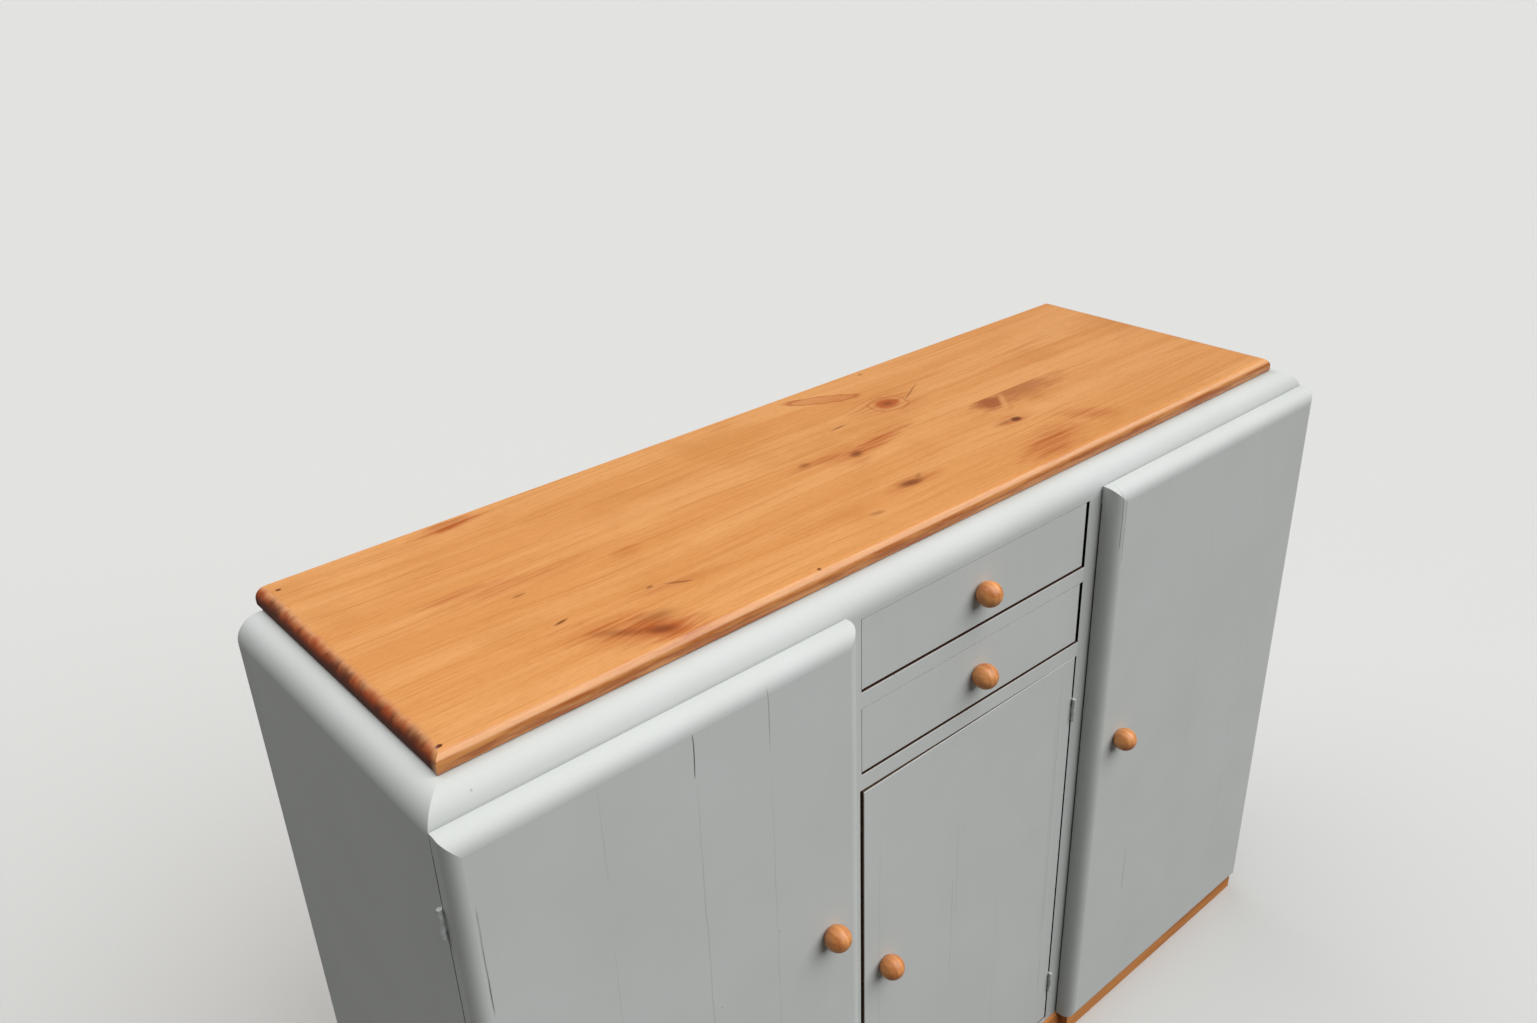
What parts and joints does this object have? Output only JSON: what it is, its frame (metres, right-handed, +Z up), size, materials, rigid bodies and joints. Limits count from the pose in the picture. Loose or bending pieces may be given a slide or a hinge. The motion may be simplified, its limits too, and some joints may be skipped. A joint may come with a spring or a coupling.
{
  "type": "sideboard",
  "caption": "Painted sideboard with a waxed pine top: drawers over a small centre cupboard, tall cupboards with round-edged overlay doors beside them, on a break-front plinth.",
  "frame": {"origin": "on the floor, under the middle of the whole object's box", "axes": "+Z up, +X to the right seen from the front, the doors and drawers face -Y"},
  "size_m": [1.4116, 0.4814, 0.978],
  "materials": {
    "painted_wood": "eggshell paint over pine",
    "waxed_pine": "waxed satin",
    "turned_pine": "waxed satin",
    "bare_pine": "bare planed pine",
    "plywood": "bare plywood",
    "painted_steel": "painted over",
    "steel_screws": "dulled zinc",
    "steel_plate": "zinc plated",
    "brass": "dull",
    "catch_plastic": "moulded"
  },
  "bodies": {
    "carcass": {"pine_top": "waxed_pine", "carcass_top_panel": "bare_pine", "top_moulding_front": "painted_wood", "top_moulding_left": "painted_wood", "top_moulding_right": "painted_wood", "side_panel_left": "painted_wood", "side_panel_right": "painted_wood", "partition_left": "bare_pine", "partition_right": "bare_pine", "bottom_board": "bare_pine", "stile_left": "painted_wood", "stile_right": "painted_wood", "drawer_rail_upper": "painted_wood", "drawer_rail_lower": "painted_wood", "door_sill": "painted_wood", "drawer_runners": "bare_pine", "drawer_stops": "bare_pine", "shelf_left": "bare_pine", "shelf_centre": "bare_pine", "shelf_right": "bare_pine", "shelf_cleats": "bare_pine", "back_panel": "plywood", "plinth_front": "waxed_pine", "plinth_frame": "bare_pine", "plinth_corner_blocks": "bare_pine", "hinge_fixed_leaves": "painted_steel", "hinge_pins": "painted_steel", "hinge_fixed_screws": "steel_screws", "door_catches": "catch_plastic", "pine_top_screws": "steel_screws"},
    "left_door": {"left_door_boards": "painted_wood", "left_door_edge_strips": "painted_wood", "left_door_knob": "turned_pine", "left_door_keeper_plate": "steel_plate", "left_door_hinge_leaves": "painted_steel", "left_door_screws": "steel_screws"},
    "right_door": {"right_door_boards": "painted_wood", "right_door_edge_strips": "painted_wood", "right_door_knob": "turned_pine", "right_door_keeper_plate": "steel_plate", "right_door_hinge_leaves": "painted_steel", "right_door_screws": "steel_screws"},
    "centre_door": {"centre_door_boards": "painted_wood", "centre_door_edge_strips": "painted_wood", "centre_door_knob": "turned_pine", "centre_door_ball_catch": "brass", "centre_door_hinge_leaves": "painted_steel", "centre_door_screws": "steel_screws"},
    "upper_drawer": {"upper_drawer_front": "painted_wood", "upper_drawer_sides": "bare_pine", "upper_drawer_back": "bare_pine", "upper_drawer_bottom": "plywood", "upper_drawer_knob": "turned_pine", "upper_drawer_knob_screw": "steel_screws"},
    "lower_drawer": {"lower_drawer_front": "painted_wood", "lower_drawer_sides": "bare_pine", "lower_drawer_back": "bare_pine", "lower_drawer_bottom": "plywood", "lower_drawer_knob": "turned_pine", "lower_drawer_knob_screw": "steel_screws"}
  },
  "joints": [
    {"name": "left_door_hinge", "type": "hinge", "parent": "carcass", "child": "left_door", "pos_m": [-0.7032, -0.18725, 0.4855], "axis": [0, 0, -1], "range_deg": [0, 170]},
    {"name": "right_door_hinge", "type": "hinge", "parent": "carcass", "child": "right_door", "pos_m": [0.7032, -0.18725, 0.4855], "axis": [0, 0, 1], "range_deg": [0, 170]},
    {"name": "centre_door_hinge", "type": "hinge", "parent": "carcass", "child": "centre_door", "pos_m": [0.19695, -0.18995, 0.36615], "axis": [0, 0, 1], "range_deg": [0, 110]},
    {"name": "upper_drawer_slide", "type": "slide", "parent": "carcass", "child": "upper_drawer", "axis": [0, -1, 0], "range_m": [0, 0.28]},
    {"name": "lower_drawer_slide", "type": "slide", "parent": "carcass", "child": "lower_drawer", "axis": [0, -1, 0], "range_m": [0, 0.28]}
  ]
}
